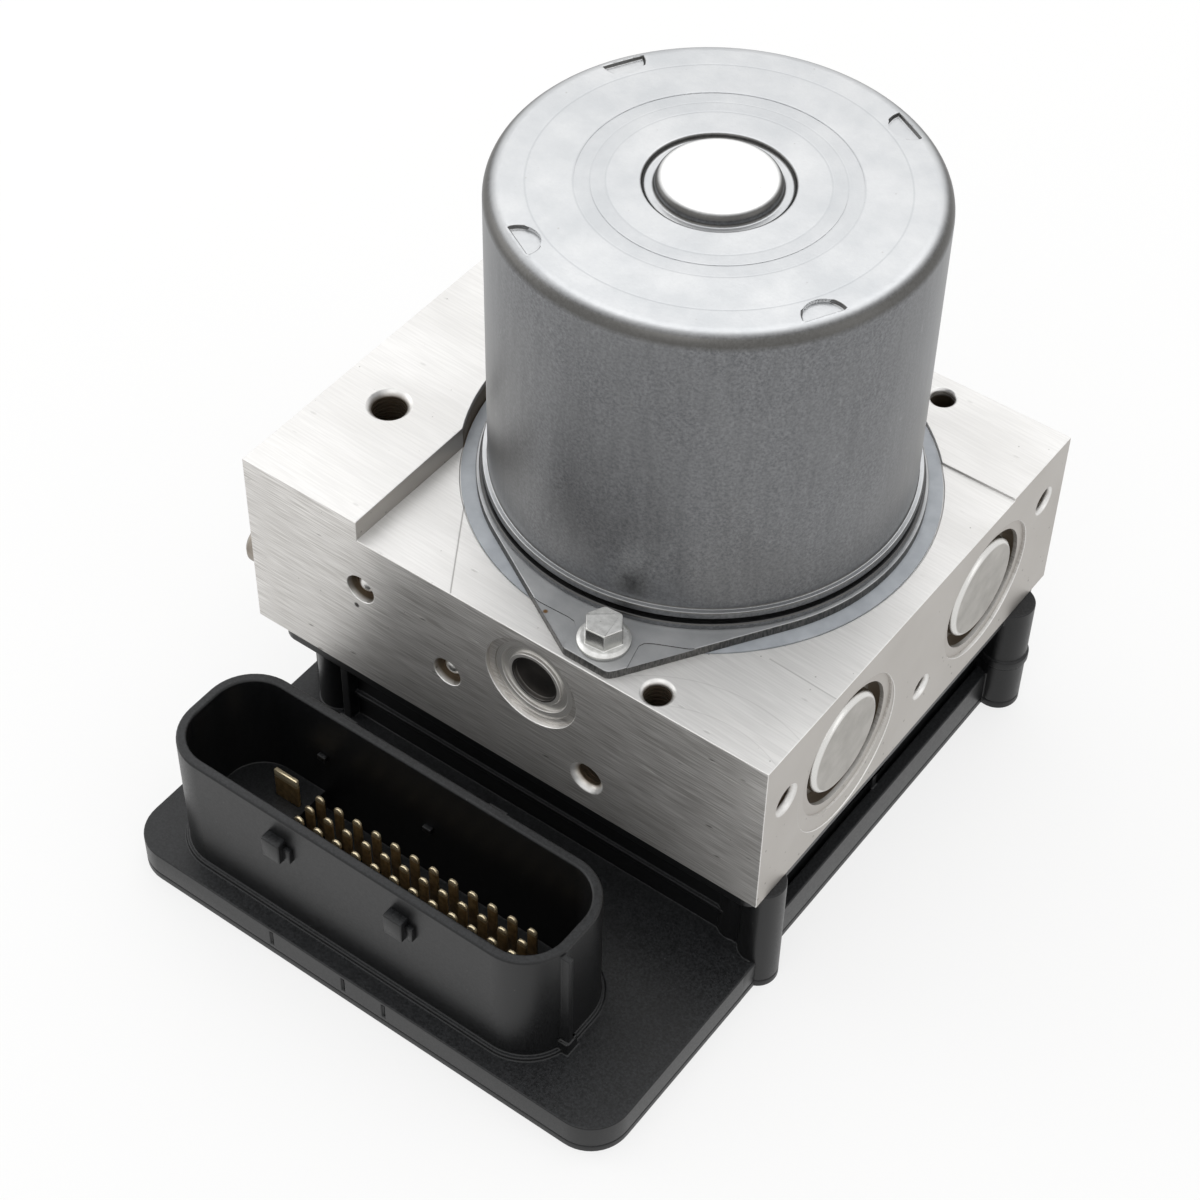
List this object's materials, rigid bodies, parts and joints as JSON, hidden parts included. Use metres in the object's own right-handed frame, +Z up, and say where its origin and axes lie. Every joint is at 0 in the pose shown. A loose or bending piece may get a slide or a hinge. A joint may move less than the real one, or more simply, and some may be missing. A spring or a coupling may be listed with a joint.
{
  "type": "anti-lock brake hydraulic unit",
  "caption": "Aluminium valve block with a round motor can on top, accumulator caps in its side, and a black controller housing with a connector shroud below",
  "frame": {"origin": "middle of the bounding box at the underside of the controller cover", "axes": "+Z up along the motor axis, -Y towards the connector side, +X towards the side with the accumulator caps"},
  "size_m": [0.1228, 0.146, 0.1337],
  "materials": {
    "block_aluminium": "milled",
    "pin_steel": "turned",
    "ball_steel": "polished",
    "gasket_sheet": "coated sheet",
    "flange_steel": "zinc plated",
    "bolt_zinc": "zinc plated",
    "can_steel": "zinc plated",
    "magnet_ferrite": "sintered",
    "bearing_steel": "ground",
    "inner_plastic": "moulded",
    "carbon_brush": "pressed carbon",
    "terminal_brass": "plated",
    "shaft_steel": "ground",
    "core_steel": "laminated",
    "copper_wire": "enamelled",
    "commutator_copper": "turned",
    "cap_steel": "pressed",
    "piston_aluminium": "anodised",
    "seal_rubber": "moulded",
    "spring_steel": "wire",
    "valve_steel": "turned",
    "coil_resin": "moulded",
    "housing_plastic": "fine grain",
    "cover_plastic": "fine grain",
    "board_laminate": "solder mask",
    "pin_bronze": "plated"
  },
  "bodies": {
    "unit": {"valve_block": "block_aluminium", "side_pin": "pin_steel", "ball_plugs": "ball_steel", "motor_gasket": "gasket_sheet", "motor_flange": "flange_steel", "flange_bolts": "bolt_zinc", "motor_can": "can_steel", "magnets": "magnet_ferrite", "upper_bearing": "bearing_steel", "lower_bearing": "bearing_steel", "brush_holder": "inner_plastic", "brushes": "carbon_brush", "motor_terminals": "terminal_brass", "lead_guide": "inner_plastic", "pump_sleeves": "pin_steel", "pump_plug_front": "cap_steel", "pump_plug_rear": "cap_steel", "pump_spring_front": "spring_steel", "pump_spring_rear": "spring_steel", "accumulator_caps": "cap_steel", "accumulator_spring_near": "spring_steel", "accumulator_spring_far": "spring_steel", "inlet_valves": "valve_steel", "outlet_valves": "valve_steel", "solenoid_coils": "coil_resin", "coil_cases": "pin_steel", "housing_gasket": "seal_rubber", "ecu_housing": "housing_plastic", "ecu_cover": "cover_plastic", "circuit_board": "board_laminate", "connector_pins": "pin_bronze", "power_blade": "pin_bronze", "ecu_screws": "bolt_zinc"},
    "rotor": {"motor_shaft": "shaft_steel", "armature_core": "core_steel", "windings": "copper_wire", "commutator": "commutator_copper", "eccentric": "shaft_steel", "eccentric_bearing": "bearing_steel"},
    "pump_front": {"pump_piston_front": "bearing_steel"},
    "pump_rear": {"pump_piston_rear": "bearing_steel"},
    "accumulator_near": {"accumulator_piston_near": "piston_aluminium", "accumulator_seal_near": "seal_rubber"},
    "accumulator_far": {"accumulator_piston_far": "piston_aluminium", "accumulator_seal_far": "seal_rubber"}
  },
  "joints": [
    {"name": "rotor_spin", "type": "hinge", "parent": "unit", "child": "rotor", "pos_m": [0.008, 0.024, 0.09], "axis": [0, 0, 1], "continuous": true},
    {"name": "pump_slide_front", "type": "slide", "parent": "unit", "child": "pump_front", "axis": [0, -1, 0], "range_m": [0, 0.0012], "stiffness_N_per_m": 1500, "deforming": ["pump_spring_front"]},
    {"name": "pump_slide_rear", "type": "slide", "parent": "unit", "child": "pump_rear", "axis": [0, 1, 0], "range_m": [0, 0.0012], "stiffness_N_per_m": 1500, "deforming": ["pump_spring_rear"]},
    {"name": "accumulator_slide_near", "type": "slide", "parent": "unit", "child": "accumulator_near", "axis": [1, 0, 0], "range_m": [0, 0.009], "stiffness_N_per_m": 4000, "springref_m": -0.004, "deforming": ["accumulator_spring_near"]},
    {"name": "accumulator_slide_far", "type": "slide", "parent": "unit", "child": "accumulator_far", "axis": [1, 0, 0], "range_m": [0, 0.009], "stiffness_N_per_m": 4000, "springref_m": -0.004, "deforming": ["accumulator_spring_far"]}
  ]
}
